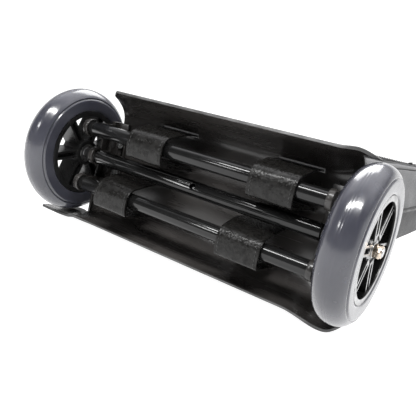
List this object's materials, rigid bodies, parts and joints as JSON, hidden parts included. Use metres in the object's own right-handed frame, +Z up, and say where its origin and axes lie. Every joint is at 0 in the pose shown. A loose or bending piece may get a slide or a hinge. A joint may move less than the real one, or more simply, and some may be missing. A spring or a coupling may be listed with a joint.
{
  "type": "pet stroller",
  "caption": "Two-wheeled pet stroller lying on its back, with a moulded wheel base, a soft carrier with a front door and a telescopic handle.",
  "frame": {"origin": "middle of the footprint, on the floor that the stroller lies on", "axes": "+X along the axle from the left wheel to the right one, +Y from the open side of the wheel base towards the handle, +Z up from the back panel to the front door"},
  "size_m": [0.4046, 0.5986, 0.1713],
  "materials": {
    "tyre": "smooth glossy translucent grey",
    "black_gloss": "moulded gloss black",
    "hub_plastic": "moulded satin black",
    "tube_black": "gloss black powder coat",
    "steel": "bright zinc",
    "nut": "passivated, faint brass tint",
    "bearing": "ground steel with dark seals",
    "strap": "grained black vinyl",
    "fabric_grey": "woven grey-black polyester",
    "fabric_black": "black woven edge tape",
    "door_mesh": "knitted black mesh",
    "cushion": "grey fleece",
    "board": "grained board",
    "aluminium": "satin anodised",
    "black_matte": "textured black",
    "rubber": "soft matt black",
    "button": "satin grey",
    "zip_metal": "bright plated"
  },
  "bodies": {
    "chassis": {"axle_rod": "steel", "axle_tube": "tube_black", "side_tube_upper": "tube_black", "side_tube_lower": "tube_black", "spacer_left": "black_matte", "spacer_right": "black_matte", "washers": "steel", "axle_nut_left": "nut", "axle_nut_right": "nut", "end_bracket_left": "black_gloss", "end_bracket_right": "black_gloss", "tube_plugs": "black_matte", "bracket_screws": "steel", "shell": "black_gloss", "strap_upper_left": "strap", "strap_upper_right": "strap", "strap_lower_left": "strap", "strap_lower_right": "strap", "carrier_back": "fabric_grey", "carrier_front": "fabric_grey", "carrier_side_left": "fabric_grey", "carrier_side_right": "fabric_grey", "carrier_base_end": "fabric_grey", "carrier_top_end": "fabric_grey", "base_board": "board", "base_cushion": "cushion", "carry_strap": "fabric_black", "rail_left": "tube_black", "rail_right": "tube_black", "rail_socket_left": "black_gloss", "rail_socket_right": "black_gloss", "rail_bridge": "black_matte", "collar_left": "black_matte", "collar_right": "black_matte", "foot_left": "rubber", "foot_right": "rubber"},
    "wheel_left": {"tyre_left": "tyre", "rim_left": "hub_plastic", "bearings_left": "bearing"},
    "wheel_right": {"tyre_right": "tyre", "rim_right": "hub_plastic", "bearings_right": "bearing"},
    "door": {"door_panel": "door_mesh"},
    "zip_slider": {"zip_slider": "zip_metal"},
    "handle": {"slide_tube_left": "aluminium", "slide_tube_right": "aluminium", "grip": "black_matte"},
    "button": {"release_button": "button"}
  },
  "joints": [
    {"name": "left_wheel_spin", "type": "hinge", "parent": "chassis", "child": "wheel_left", "pos_m": [-0.1813, -0.22425, 0.0868], "axis": [1, 0, 0], "continuous": true},
    {"name": "right_wheel_spin", "type": "hinge", "parent": "chassis", "child": "wheel_right", "pos_m": [0.1813, -0.22425, 0.0868], "axis": [1, 0, 0], "continuous": true},
    {"name": "door_hinge", "type": "hinge", "parent": "chassis", "child": "door", "pos_m": [0, -0.14025, 0.16], "axis": [1, 0, 0], "range_deg": [0, 120]},
    {"name": "zip_travel", "type": "slide", "parent": "chassis", "child": "zip_slider", "axis": [0, -1, 0], "range_m": [0, 0.3]},
    {"name": "handle_slide", "type": "slide", "parent": "chassis", "child": "handle", "axis": [0, 1, 0], "range_m": [0, 0.36]},
    {"name": "release_press", "type": "slide", "parent": "handle", "child": "button", "axis": [0, -1, 0], "range_m": [0, 0.004], "stiffness_N_per_m": 500, "springref_m": -0.002}
  ]
}
